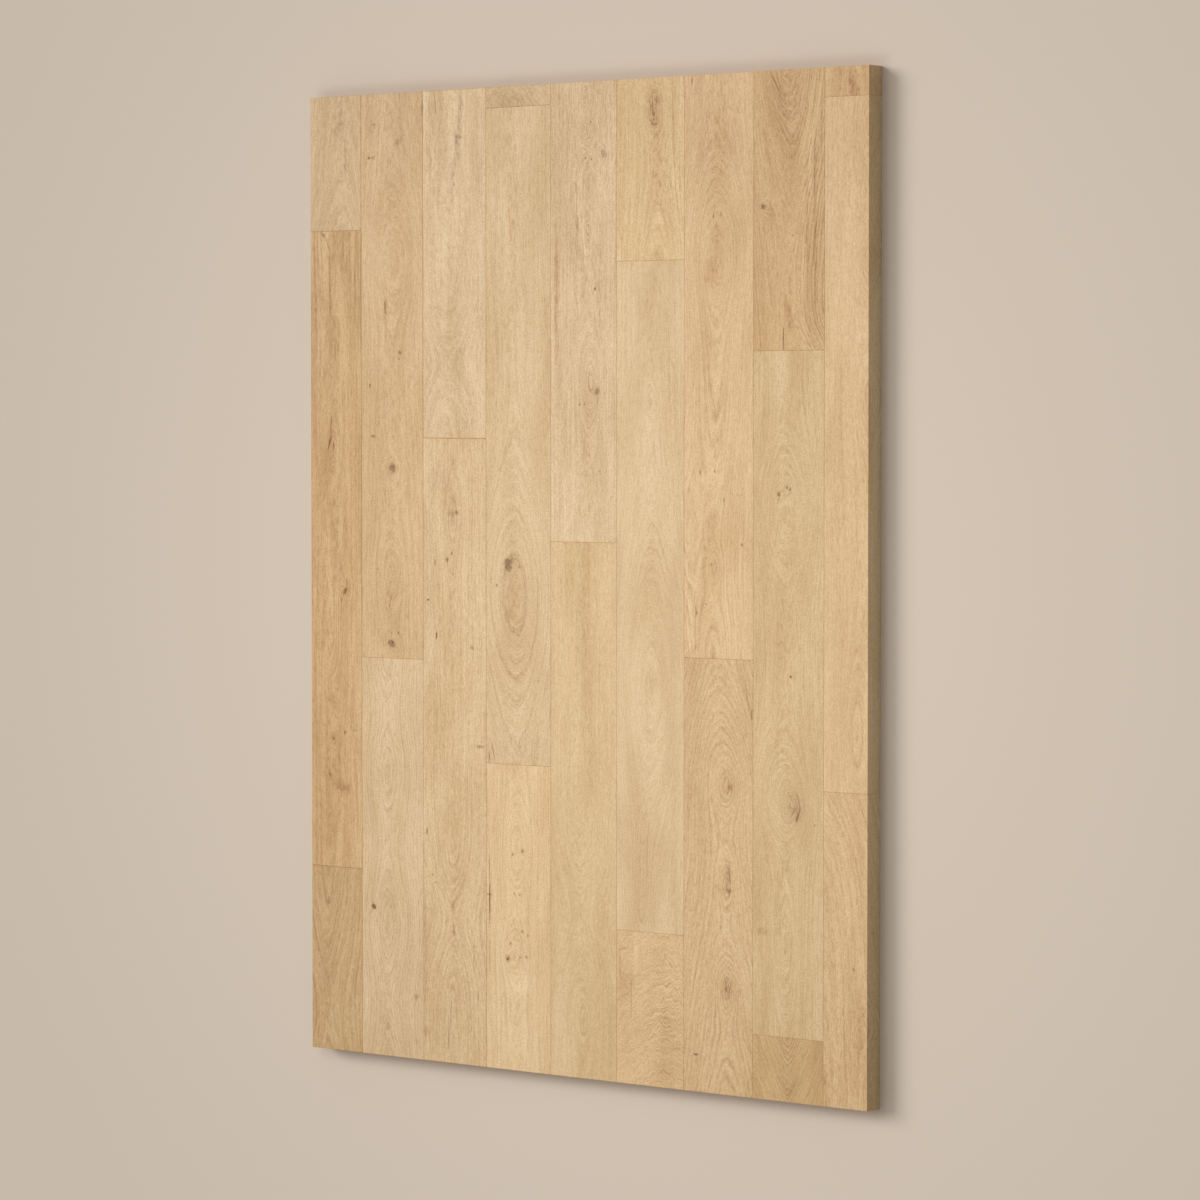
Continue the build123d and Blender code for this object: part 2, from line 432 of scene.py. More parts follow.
            streak(84, 100, 0.6, 30, 0.1, 0.03), stain(26, 100, 10, 80, -0.6),
            eye(57, 225, 40, 80, -18, 0.0), eye(57, 158, 10, 34, 0, 0.4), stain(57, 165, 6, 18, -0.5),
            # The last wide mark over its whole width: paler towards the foot
            stain(57, 90, 10, 80, 0.15), stain(40, 185, 60, 30, -0.3),
        ],
    ),
    "row6_plank2": Plank(
        STRAW, PLAIN, axis=46, round=24, ring=4.6, figure=0.12, streaks=0.35, grain=0.5,
        marks=[
            eye(44, 145, 9, 26, -12, 0.3), eye(49, 450, 60, 140, -50, 0.0), eye(49, 306, 26, 26, 0, 0.22),
            eye(32, 660, 14, 90, -28, 0.3), stain(33, 640, 6, 56, 0.14), stain(75, 200, 8, 160, 0.12),
            streak(41, 625, 0.6, 30, 0.15),
        ],
    ),
    "row6_plank3": Plank(
        HONEY, LIGHT, axis=66, round=40, run=820, ring=3.4, figure=0.12, wave=5, curl=7.0,
        marks=[
            eye(66, 85, 30, 80, 0, 0.8), eye(12, 60, 11, 60, 0, 0.45), streak(5, 40, 0.8, 20, 0.25),
            streak(20, 70, 0.7, 20, 0.2), stain(26, 20, 1.6, 24, -0.9), stain(15, 55, 10, 9, 0.3),
            stain(70, 60, 12, 30, -0.4),
        ],
    ),
    "row7_plank1": Plank(
        HONEY, LIGHT, axis=42, ring=4.6, figure=0.2, grain=0.52,
        marks=[
            streak(10, 6, 0.9, 4, 0.5), eye(46, 180, 50, 80, -40, 0.0), eye(40, 320, 40, 100, -22, 0.0),
            eye(44, 100, 20, 40, 0, 0.05), eye(38, 330, 20, 100, 0, 0.25), stain(48, 60, 18, 30, 0.2),
            Mark(38, 144, 0.9, 4, heart=0.45, halo=0.3), Mark(48, 144, 0.9, 3, heart=0.5, halo=0.3),
            stain(43, 176, 6, 20, 0.35), stain(35, 204, 7, 10, 0.5),
            Mark(21, 408, 1.1, 2.6, heart=0.55, halo=0.4), streak(40, 407, 1.0, 2.0, 0.5),
            pin(52, 436, 1.1, 0.4), pin(75, 482, 1.2), pin(29, 496, 1.0), pin(36, 503, 1.1),
            eye(40, 506, 9, 18, -12, 0.3), pin(29, 544, 1.0), pin(16, 553, 1.1),
            stain(11, 560, 2.6, 22, -1.0, -0.15), stain(6, 590, 2.6, 9, -1.0, -0.9),
            stain(18, 574, 1.4, 22, 0.5, -0.2), stain(3, 565, 1.2, 22, 0.45, -0.1),
            stain(14, 591, 1.6, 8, 0.5, -0.9), stain(15, 520, 2.0, 44, -0.8, -0.25),
            eye(-5, 470, 30, 110, -34, 0.0), eye(10, 540, 16, 55, 0, 0.5), stain(78, 570, 5, 16, 0.4),
            # The last two wide marks over its whole width: darker towards the head, paler towards the foot
            stain(50, 575, 18, 20, 0.12), eye(36, 600, 26, 56, -20, 0.2), stain(45, 60, 60, 90, 0.14),
            stain(45, 580, 60, 60, -0.4),
        ],
    ),
    "row7_plank2": Plank(
        HONEY, PLAIN, run=180, drift=26, ring=4.8, figure=0.36, curl=1.2, streaks=0.4,
        marks=[
            eye(52, 110, 60, 70, -22, 0.0), eye(58, 130, 15, 26, -20, 0.1),
            Mark(60, 132, 3.4, 3.2, heart=0.25, halo=0.6), stain(61, 132, 9, 10, 0.2),
            eye(57, 230, 12, 28, -22, 0.15), Mark(58, 224, 3.0, 10, halo=0.2, mineral=0.5),
            streak(60, 222, 0.9, 9, 0.35, 0.08),
            Mark(59, 239, 3.0, 2.2, heart=0.4, halo=0.4, mineral=0.3), stain(52, 238, 6, 3, 0.3),
            eye(57, 340, 14, 28, -22, 0.1), Mark(57, 338, 4, 8, halo=0.35, mineral=0.4),
            streak(55, 335, 0.8, 6, 0.3, 0.2), streak(60, 341, 0.8, 6, 0.35, -0.3),
            stain(62, 346, 9, 10, 0.25), streak(82, 36, 0.8, 14, 0.3, 0.2), streak(88, 56, 0.9, 9, 0.5),
            Mark(16, 411, 3.0, 1.2, heart=0.65, halo=0.4),
        ],
    ),
    "row8_plank1": Plank(
        TAN, LIGHT, axis=50, round=12, run=-120, ring=4.0, figure=0.4, wave=6, curl=1.2, butt=0.15,
        marks=[
            streak(26, 10, 0.9, 8, 0.55, 0.6), streak(32, 20, 0.8, 6, 0.4, 0.5),
            eye(34, 0, 22, 50, -24, 0.15), stain(40, 45, 18, 40, 0.25), eye(76, 165, 34, 110, 14, 0.0),
            stain(81, 35, 1.6, 36, -1.0, -0.2), stain(71, 40, 1.5, 36, -1.0, -0.2),
            stain(83, 170, 1.7, 80, -1.0), stain(73, 165, 1.6, 80, -1.0, 0.02),
            stain(78, 160, 1.2, 90, 0.4), stain(68, 165, 1.2, 90, 0.35), stain(63, 170, 1.5, 80, -0.9),
            eye(76, 130, 16, 130, 0, 0.9), streak(77, 100, 0.6, 40, 0.25), streak(86, 70, 0.6, 40, 0.2),
            eye(14, 210, 16, 60, 0, 0.2),
            Mark(12, 137, 2.8, 2.4, heart=0.65, halo=0.4, mineral=0.3, rise=-12, reach=3, bold=0.2),
            streak(12, 139, 4.2, 0.8, 0.4), stain(26, 130, 8, 3, -0.9, -1.0), stain(22, 150, 6, 10, 0.3),
            pin(50, 168, 1.0, 0.5), stain(42, 238, 5, 8, 0.5), stain(46, 252, 3.5, 12, 0.6, 0.15),
            streak(38, 270, 0.7, 16, 0.7), stain(25, 275, 10, 12, -0.5), eye(86, 325, 44, 52, -40, 0.0),
            # The last two wide marks over its whole width: darker towards the head, paler towards the foot
            eye(80, 268, 16, 22, 0, 0.45), stain(45, 10, 60, 40, 0.14), stain(45, 270, 60, 30, -0.3),
        ],
    ),
    "row8_plank2": Plank(
        WHEAT, DEEP, axis=40, round=24, ring=4.6, figure=0.16, butt=0.1,
        marks=[
            eye(40, 165, 40, 60, -26, 0.0), eye(39, 105, 12, 30, 0, 0.3),
            Mark(33, 146, 2.2, 2.4, heart=0.55, halo=0.5), streak(32, 152, 0.6, 5, 0.45, -0.4),
            eye(33, 147, 5, 5, -8, 0.3), pin(43, 139, 1.4), pin(47, 141, 1.4),
            eye(45, 140, 7, 7, -10, 0.35), stain(39, 153, 7, 4, -0.8),
            streak(31, 180, 0.5, 14, 0.2, -0.15), stain(44, 260, 9, 60, 0.2), pin(48, 331, 1.5, 0.9),
            eye(33, 452, 40, 56, -24, 0.0), eye(32, 408, 12, 26, 0, 0.35),
            eye(51, 460, 15, 26, -18, 0.25),
            Mark(53, 462, 9, 11, halo=-0.1, mineral=0.35, rise=-12, bold=0.8),
            streak(60, 466, 1.0, 5, 0.4, -0.15), streak(57, 474, 1.5, 5, 0.65, -0.4),
            stain(57, 470, 4, 6, 0.4), streak(51, 470, 0.8, 5, 0.4, -0.5),
            streak(48, 454, 0.8, 5, 0.35, 0.6), streak(58, 456, 0.8, 6, 0.35, 0.3),
            stain(50, 458, 4, 4, -0.8), streak(47, 462, 0.7, 4, 0.3, 0.3),
            Mark(79, 481, 1.2, 1.6, heart=0.5), Mark(14, 593, 6, 3, halo=0.2, mineral=0.35),
            eye(43, 600, 14, 66, -18, 0.2), stain(44, 605, 4, 16, 0.3), eye(36, 540, 14, 60, 0, 0.2),
        ],
    ),
    "row8_plank3": Plank(
        OLIVE, PALEST, round=5, run=-430, ring=3.2, figure=0.3, wave=2, curl=0.8, streaks=0.7, butt=0.1,
        marks=[
            eye(45, 35, 13, 80, 0, 0.5),
        ],
    ),
    "row9_plank1": Plank(
        TAN, PALE, axis=34, round=40, run=100, ring=4.0, figure=0.3, butt=0.1,
        marks=[
            Mark(35, 17, 4.0, 13, halo=0.75, mineral=0.3, tilt=0.1), stain(38, 27, 6, 4, 0.3),
        ],
    ),
    "row9_plank2": Plank(
        HONEY, LIGHT, axis=58, round=30, ring=4.6, figure=0.14, streaks=0.4, grain=0.5, butt=0.1,
        marks=[
            eye(55, 30, 14, 34, -20, 0.3), eye(55, 165, 14, 34, -22, 0.3), eye(56, 300, 16, 40, -20, 0.3),
            # The last two wide marks over its whole width: darker towards the head, paler towards the foot
            stain(38, 620, 8, 80, 0.14), eye(39, 640, 14, 70, -22, 0.25), stain(28, 40, 50, 110, 0.14),
            stain(28, 640, 50, 90, -0.4),
        ],
    ),
    "row9_plank3": Plank(
        HONEY, LIGHT, axis=-10, round=40, run=30, ring=4.4, figure=0.32,
        marks=[
            eye(5, -20, 70, 80, 26, 0.0), pin(38, 178, 1.8, 0.4), stain(48, 240, 3, 30, 0.2),
            # The last two wide marks over its whole width: paler towards the head, darker towards the foot
            eye(62, 235, 16, 26, -14, 0.2), stain(28, 0, 50, 60, -0.6), stain(28, 310, 50, 60, 0.25),
        ],
    ),
}


class Bench:
    """Lays out one node tree: makes its nodes, sets their sockets and links them."""

    def __init__(self, tree):
        self.tree = tree

    def feed(self, socket, value):
        """Links a socket to the value, or sets it."""
        if isinstance(value, bpy.types.NodeSocket):
            self.tree.links.new(value, socket)
        else:
            socket.default_value = value

    def node(self, kind, sockets=None, **settings):
        """Makes a node with those settings and sockets."""
        made = self.tree.nodes.new(kind)
        for name, value in settings.items():
            setattr(made, name, value)
        for key, value in (sockets or {}).items():
            self.feed(made.inputs[key], value)
        return made

    def place(self, group, sockets):
        """Places a node group and gives its outputs."""
        return self.node("ShaderNodeGroup", sockets, node_tree=group).outputs

    def math(self, operation, *values):
        return self.node("ShaderNodeMath", dict(enumerate(values)), operation=operation).outputs[0]

    def vector(self, operation, *values):
        return self.node("ShaderNodeVectorMath", dict(enumerate(values)), operation=operation).outputs[0]

    def split(self, vector):
        return self.node("ShaderNodeSeparateXYZ", {0: vector}).outputs

    def join(self, x, y, z):
        return self.node("ShaderNodeCombineXYZ", {0: x, 1: y, 2: z}).outputs[0]

    def ease(self, value, start, end):
        """0 at start, 1 at end, smooth between."""
        sockets = {"Value": value, "From Min": start, "From Max": end}
        return self.node("ShaderNodeMapRange", sockets, interpolation_type="SMOOTHSTEP").outputs[0]

    def noise(self, position, cell, shift, detail=2.0, roughness=0.5):
        """Noise whose cells are that large in millimetres, across, along and deep."""
        place = self.vector("MULTIPLY_ADD", position, tuple(1 / size for size in cell), shift)
        sockets = {"Vector": place, "Scale": 1.0, "Detail": detail, "Roughness": roughness}
        return self.node("ShaderNodeTexNoise", sockets).outputs

    def swing(self, position, cell, shift):
        """Plain noise that swings from -1 to 1."""
        return self.math("MULTIPLY_ADD", self.noise(position, cell, shift, detail=1.0)[0], 2.0, -1.0)

    def noise_line(self, value, detail):
        """Noise along one value."""
        sockets = {"W": value, "Scale": 1.0, "Detail": detail}
        return self.node("ShaderNodeTexNoise", sockets, noise_dimensions="1D").outputs[0]

    def stain(self, colour, stain, amount):
        """The colour with that share of a stain laid over it."""
        sockets = {0: amount, 6: colour, 7: stain}
        return self.node("ShaderNodeMix", sockets, data_type="RGBA", blend_type="MULTIPLY").outputs[2]


def node_group(name, inputs, outputs, kind="ShaderNodeTree"):
    """A node group with those sockets, its bench, and its input and output sockets by name."""
    group = bpy.data.node_groups.new(name, kind)
    for label, socket_type in inputs.items():
        group.interface.new_socket(name=label, in_out="INPUT", socket_type="NodeSocket" + socket_type)
    for label, socket_type in outputs.items():
        group.interface.new_socket(name=label, in_out="OUTPUT", socket_type="NodeSocket" + socket_type)
    bench = Bench(group)
    return group, bench, bench.node("NodeGroupInput").outputs, bench.node("NodeGroupOutput").inputs


def floats(*labels):
    """Sockets of those names that each take one number."""
    return {label: "Float" for label in labels}


def seed_shift(bench, seed):
    """Where in the noise a plank lies, so that no two planks show the same part of it."""
    sockets = {0: SEED_STRIDE, "Scale": seed}
    return bench.node("ShaderNodeVectorMath", sockets, operation="SCALE").outputs[0]


def oak_mark_group():
    """Adds one knot, streak, stain or eye to the running masks of a plank."""
    running = floats("Swell", "Bold", "Heart", "Halo", "Mineral")
    sizes = floats("Across", "Along", "Width", "Length", "Tilt", "Rise", "Reach")
    depths = floats("Bold Depth", "Heart Depth", "Halo Depth", "Mineral Depth")
    inputs = {"Position": "Vector", "Wobble": "Vector", **running, **sizes, **depths}
    group, bench, given, result = node_group("Oak mark", inputs, running)
    x, y, _ = bench.split(given["Position"])
    wobble_x, wobble_y, _ = bench.split(given["Wobble"])
    along = bench.math("SUBTRACT", y, given["Along"])
    lean = bench.math("MULTIPLY", along, given["Tilt"])
    across = bench.math("SUBTRACT", bench.math("SUBTRACT", x, given["Across"]), lean)
    across = bench.math("DIVIDE", across, given["Width"])
    along = bench.math("DIVIDE", along, given["Length"])
    squares = bench.math("MULTIPLY_ADD", along, along, bench.math("MULTIPLY", across, across))
    squares = bench.math("DIVIDE", squares, bench.math("MULTIPLY", given["Reach"], given["Reach"]))
    bulge = bench.math("EXPONENT", bench.math("MULTIPLY", squares, -1.0))
    bench.feed(result["Swell"], bench.math("MULTIPLY_ADD", bulge, given["Rise"], given["Swell"]))
    bench.feed(result["Bold"], bench.math("MULTIPLY_ADD", bulge, given["Bold Depth"], given["Bold"]))
    across = bench.math("MULTIPLY_ADD", wobble_x, MARK_WOBBLE, across)
    along = bench.math("MULTIPLY_ADD", wobble_y, MARK_WOBBLE, along)
    squares = bench.math("MULTIPLY_ADD", along, along, bench.math("MULTIPLY", across, across))
    distance = bench.math("SQRT", squares)
    heart = bench.math("MULTIPLY", bench.ease(distance, *HEART_EDGE), given["Heart Depth"])
    bench.feed(result["Heart"], bench.math("MAXIMUM", heart, given["Heart"]))
    soft = bench.ease(distance, *HALO_EDGE)
    bench.feed(result["Halo"], bench.math("MULTIPLY_ADD", soft, given["Halo Depth"], given["Halo"]))
    bench.feed(result["Mineral"], bench.math("MULTIPLY_ADD", soft, given["Mineral Depth"], given["Mineral"]))
    return group


def oak_rings_group():
    """The year rings where the plank's surface cuts them, and the streaks and dashes that follow them."""
    sizes = floats("Swell", "Axis", "Round", "Run", "Drift", "Ring Width", "Wave", "Curl", "Seed")
    outputs = floats("Lines", "Bands", "Streaks", "Dashes")
    group, bench, given, result = node_group("Oak rings", {"Position": "Vector", **sizes}, outputs)
    place, seed = given["Position"], given["Seed"]
    shift = seed_shift(bench, seed)
    x, y, z = bench.split(place)
    metres = bench.math("MULTIPLY", y, 1 / MILLIMETRES)
    across = bench.math("SUBTRACT", x, bench.math("MULTIPLY_ADD", metres, given["Drift"], given["Axis"]))
    deep = bench.math("SUBTRACT", given["Round"], z)
    squares = bench.math("MULTIPLY_ADD", deep, deep, bench.math("MULTIPLY", across, across))
    radius = bench.math("ADD", bench.math("SQRT", squares), given["Swell"])
    radius = bench.math("SUBTRACT", radius, bench.math("MULTIPLY", metres, given["Run"]))
    radius = bench.math("MULTIPLY_ADD", bench.swing(place, WAVE_CELL, shift), given["Wave"], radius)
    radius = bench.math("MULTIPLY_ADD", bench.swing(place, CURL_CELL, shift), given["Curl"], radius)
    frayed = bench.math("MULTIPLY_ADD", bench.swing(place, FRAY_CELL, shift), FRAYED_EDGE, radius)
    count = bench.math("DIVIDE", frayed, given["Ring Width"])
    uneven = bench.noise_line(bench.math("MULTIPLY_ADD", count, UNEVEN_PACE, seed), detail=1.0)
    count = bench.math("MULTIPLY_ADD", uneven, UNEVEN_YEARS, count)
    season = bench.math("FRACT", count)
    year = bench.math("ADD", bench.math("FLOOR", count), seed)
    strength = bench.node("ShaderNodeTexWhiteNoise", {"W": year}, noise_dimensions="1D").outputs[0]
    strength = bench.math("MULTIPLY_ADD", strength, 1.0 - FAINTEST_YEAR, FAINTEST_YEAR)
    grown = bench.math("MULTIPLY", bench.ease(season, *SPRING), bench.ease(season, *SUMMER))
    bench.feed(result["Lines"], bench.math("MULTIPLY", grown, strength))
    slow = bench.noise_line(bench.math("MULTIPLY_ADD", count, BAND_PACE, seed), detail=2.0)
    bench.feed(result["Bands"], bench.ease(slow, *BAND_EDGE))
    flow = bench.join(radius, y, x)
    streaks = bench.noise(flow, STREAK_CELL, shift, detail=3.0, roughness=0.65)[0]
    dashes = bench.noise(flow, DASH_CELL, shift, detail=2.0, roughness=0.6)[0]
    bench.feed(result["Streaks"], bench.ease(streaks, *STREAK_EDGE))
    bench.feed(result["Dashes"], bench.ease(dashes, *DASH_EDGE))
    return group


def oak_fibres_group():
    """Pores along the grain and their relief, a fine speckle, and slow changes of tone."""
    inputs = {"Position": "Vector", "Seed": "Float"}
    outputs = {**floats("Speckle", "Pores", "Relief", "Mottle"), "Wobble": "Vector"}
    group, bench, given, result = node_group("Oak fibres", inputs, outputs)
    shift = seed_shift(bench, given["Seed"])
    place = given["Position"]
    speckle = bench.ease(bench.noise(place, SPECKLE_CELL, shift, detail=1.0)[0], *SPECKLE_EDGE)
    pores = bench.ease(bench.noise(place, PORE_CELL, shift, detail=1.0)[0], *PORE_EDGE)
    mottle = bench.noise(place, MOTTLE_CELL, shift)[0]
    wobble = bench.noise(place, WOBBLE_CELL, shift)[1]
    bench.feed(result["Speckle"], speckle)
    bench.feed(result["Pores"], pores)
    relief = bench.math("MULTIPLY_ADD", pores, PORE_SINK, 1.0)
    bench.feed(result["Relief"], bench.math("MULTIPLY_ADD", speckle, SPECKLE_SINK, relief))
    bench.feed(result["Mottle"], bench.ease(mottle, *MOTTLE_EDGE))
    bench.feed(result["Wobble"], bench.vector("SUBTRACT", wobble, NOISE_MIDDLE))
    return group


def joint_line_group():
    """Oil and dust that stay along the eased edges of a plank's face, at its sides and at its ends."""
    inputs = {"Position": "Vector", **floats("Width", "Length", "Side Depth", "End Depth", "Seed")}
    group, bench, given, result = node_group("Joint line", inputs, floats("Mask"))
    x, y, z = bench.split(given["Position"])
    sides = bench.math("MINIMUM", x, bench.math("SUBTRACT", given["Width"], x))
    ends = bench.math("MINIMUM", y, bench.math("SUBTRACT", given["Length"], y))
    patchy = bench.noise(given["Position"], DUST_CELL, seed_shift(bench, given["Seed"]))[0]
    reach = bench.math("MULTIPLY_ADD", patchy, DUST_REACH, LEAST_DUST)
    sides = bench.math("MULTIPLY", bench.ease(sides, reach, FULL_DUST), given["Side Depth"])
    ends = bench.math("MULTIPLY", bench.ease(ends, reach, FULL_DUST), given["End Depth"])
    on_face = bench.ease(z, *DUST_DEPTH)
    bench.feed(result["Mask"], bench.math("MULTIPLY", bench.math("MAXIMUM", sides, ends), on_face))
    return group


def oiled_oak_group():
    """Colour and gloss of oiled oak from its rings, fibres, marks and joints."""
    rings = floats("Lines", "Bands", "Figure", "Bold")
    fibres = floats("Streaks", "Streak Amount", "Dashes", "Speckle", "Grain Amount", "Pores", "Mottle")
    marks = floats("Heart", "Halo", "Mineral", "Joint", "End Grain", "Side Face", "Bare")
    inputs = {"Tone": "Color", **rings, **fibres, **marks}
    outputs = {"Colour": "Color", "Roughness": "Float"}
    group, bench, given, result = node_group("Oiled oak", inputs, outputs)
    grain = given["Grain Amount"]
    figure = bench.math("MINIMUM", bench.math("ADD", given["Figure"], given["Bold"]), 1.0)
    broken = bench.math("MULTIPLY_ADD", given["Dashes"], *BROKEN_RINGS)
    lines = bench.math("MULTIPLY", bench.math("MULTIPLY", given["Lines"], figure), broken)
    grainy = bench.math("MULTIPLY_ADD", given["Dashes"], *GRAINY_STAINS)
    halo = bench.math("MULTIPLY", given["Halo"], grainy)
    colour = bench.stain(given["Tone"], MOTTLE_STAIN, given["Mottle"])
    colour = bench.stain(colour, BAND_STAIN, bench.math("MULTIPLY", given["Bands"], given["Figure"]))
    colour = bench.stain(colour, RING_STAIN, lines)
    streaked = bench.math("MULTIPLY_ADD", given["Bold"], BOLD_STREAKS, given["Streak Amount"])
    colour = bench.stain(colour, STREAK_STAIN, bench.math("MULTIPLY", given["Streaks"], streaked))
    colour = bench.stain(colour, DASH_STAIN, bench.math("MULTIPLY", given["Dashes"], grain))
    colour = bench.stain(colour, SPECKLE_STAIN, bench.math("MULTIPLY", given["Speckle"], grain))
    colour = bench.stain(colour, HALO_STAIN, bench.math("MAXIMUM", halo, 0.0))
    pale = bench.math("MAXIMUM", bench.math("MULTIPLY", halo, -1.0), 0.0)
    colour = bench.stain(colour, PALE_TINT, pale)
    colour = bench.stain(colour, MINERAL_STAIN, bench.math("MULTIPLY", given["Mineral"], grainy))
    colour = bench.stain(colour, HEART_STAIN, given["Heart"])
    colour = bench.stain(colour, JOINT_STAIN, given["Joint"])
    colour = bench.stain(colour, END_GRAIN_STAIN, given["End Grain"])
    # Greyer and cooler on the faces that look across the plank
    colour = bench.stain(colour, SIDE_FACE_TINT, given["Side Face"])
    bench.feed(result["Colour"], bench.stain(colour, BARE_TINT, given["Bare"]))
    rough = bench.math("MULTIPLY_ADD", given["Pores"], PORE_ROUGHNESS, OIL_ROUGHNESS)
    rough = bench.math("MULTIPLY_ADD", given["Dashes"], DASH_ROUGHNESS, rough)
    rough = bench.math("MULTIPLY_ADD", given["Bare"], BARE_ROUGHNESS, rough)
    bench.feed(result["Roughness"], bench.math("MULTIPLY_ADD", given["Heart"], HEART_ROUGHNESS, rough))
    return group


OAK_MARK = oak_mark_group()
OAK_RINGS = oak_rings_group()
OAK_FIBRES = oak_fibres_group()
JOINT_LINE = joint_line_group()
OILED_OAK = oiled_oak_group()


def add_marks(bench, place, wobble, marks):
    """The running masks of a plank, after all of its marks."""
    found = {"Swell": 0.0, "Bold": 0.0, "Heart": 0.0, "Halo": 0.0, "Mineral": 0.0}
    for mark in marks:
        added = bench.place(OAK_MARK, {
            "Position": place, "Wobble": wobble, **found,
            "Across": mark.across, "Along": mark.along, "Width": mark.width, "Length": mark.length,
            "Tilt": mark.tilt, "Rise": mark.rise, "Reach": mark.reach, "Bold Depth": mark.bold,
            "Heart Depth": mark.heart, "Halo Depth": mark.halo, "Mineral Depth": mark.mineral,
        })
        found = {label: added[label] for label in found}
    return found


def plank_material(name, plank, seed, left, right, head, foot):
    """Oiled oak for one plank, which lies between those sides and ends, in metres."""
    material = bpy.data.materials.new("oak_" + name)
    material.use_nodes = True
    material.node_tree.nodes.clear()
    bench = Bench(material.node_tree)
    millimetres = {
        "Vector": bench.node("ShaderNodeTexCoord").outputs["Object"],
        "Scale": (MILLIMETRES, -MILLIMETRES, MILLIMETRES),
        "Location": (-MILLIMETRES * left, MILLIMETRES * head, -MILLIMETRES * PLANK_THICKNESS),
    }
    place = bench.node("ShaderNodeMapping", millimetres).outputs[0]
    fibres = bench.place(OAK_FIBRES, {"Position": place, "Seed": seed})
    found = add_marks(bench, place, fibres["Wobble"], plank.marks)
    rings = bench.place(OAK_RINGS, {
        "Position": place, "Swell": found["Swell"], "Axis": plank.axis, "Round": plank.round,
        "Run": plank.run, "Drift": plank.drift, "Ring Width": plank.ring, "Wave": plank.wave,
        "Curl": plank.curl, "Seed": seed,
    })
    joint = bench.place(JOINT_LINE, {
        "Position": place, "Seed": seed,
        "Width": MILLIMETRES * (right - left), "Length": MILLIMETRES * (head - foot),
        "Side Depth": plank.seam, "End Depth": plank.butt,
    })
    normal = bench.split(bench.node("ShaderNodeNewGeometry").outputs["Normal"])
    oak = bench.place(OILED_OAK, {
        "Tone": tuple(channel * plank.shade for channel in plank.tone[:3]) + (1.0,),
        "Lines": rings["Lines"], "Bands": rings["Bands"], "Figure": plank.figure, "Bold": found["Bold"],
        "Streaks": rings["Streaks"], "Streak Amount": plank.streaks, "Dashes": rings["Dashes"],
        "Speckle": fibres["Speckle"], "Grain Amount": plank.grain, "Pores": fibres["Pores"],
        "Mottle": fibres["Mottle"], "Heart": found["Heart"], "Halo": found["Halo"],
        "Mineral": found["Mineral"], "Joint": joint["Mask"],
        "End Grain": bench.ease(bench.math("ABSOLUTE", normal[1]), *SQUARE_EDGE),
        # Faces that look across the plank, which are tinted greyer and cooler
        "Side Face": bench.ease(bench.math("ABSOLUTE", normal[0]), *SQUARE_EDGE),
        "Bare": bench.ease(normal[2], *UNDERSIDE_EDGE),
    })
    relief = {"Strength": RELIEF_STRENGTH, "Distance": RELIEF_HEIGHT, "Height": fibres["Relief"]}
    oiled = bench.node("ShaderNodeBsdfPrincipled", {
        "Base Color": oak["Colour"], "Roughness": oak["Roughness"],
        "Normal": bench.node("ShaderNodeBump", relief).outputs[0], "Specular IOR Level": OIL_SPECULAR,
    })
    bench.node("ShaderNodeOutputMaterial", {"Surface": oiled.outputs[0]})
    return material


